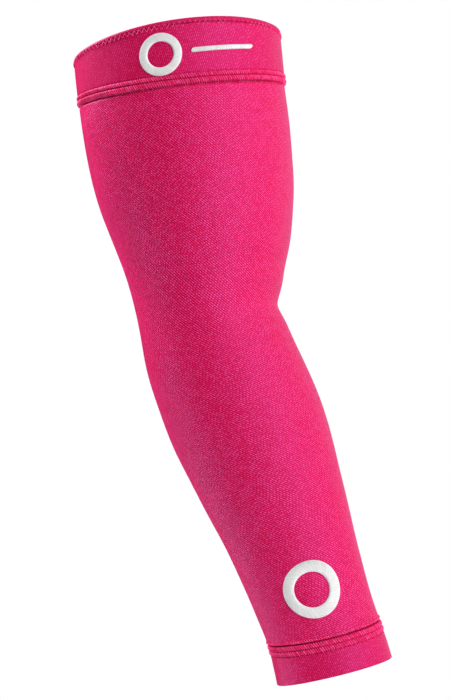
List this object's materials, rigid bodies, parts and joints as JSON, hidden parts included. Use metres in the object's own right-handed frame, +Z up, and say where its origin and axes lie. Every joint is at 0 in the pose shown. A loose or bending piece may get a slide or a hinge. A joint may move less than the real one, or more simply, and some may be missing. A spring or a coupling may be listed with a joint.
{
  "type": "arm sleeve",
  "caption": "Knitted compression sleeve in its worn shape round a slightly bent arm, open at both ends, with a doubled band and cuff.",
  "frame": {"origin": "centre of the upper opening, at the band's rim", "axes": "+Z up the upper arm, +X towards the crook of the elbow and, further down, the wrist, -Y the side with the embroidery"},
  "size_m": [0.1906, 0.1054, 0.3933],
  "materials": {
    "tube_cloth": "matt fine knit, deep pink, with a soft sheen at grazing angles",
    "band_cloth": "the same knit, doubled, with fine upright ribs",
    "binding_cloth": "smooth narrow binding, a shade darker",
    "white_thread": "white satin-stitched embroidery thread with a silky gloss"
  },
  "bodies": {
    "root": {"arm_tube": "tube_cloth", "upper_band": "band_cloth", "edge_binding": "binding_cloth", "wrist_cuff": "band_cloth", "upper_emblem_ring": "white_thread", "upper_emblem_bar": "white_thread", "wrist_emblem_ring": "white_thread"}
  },
  "joints": []
}
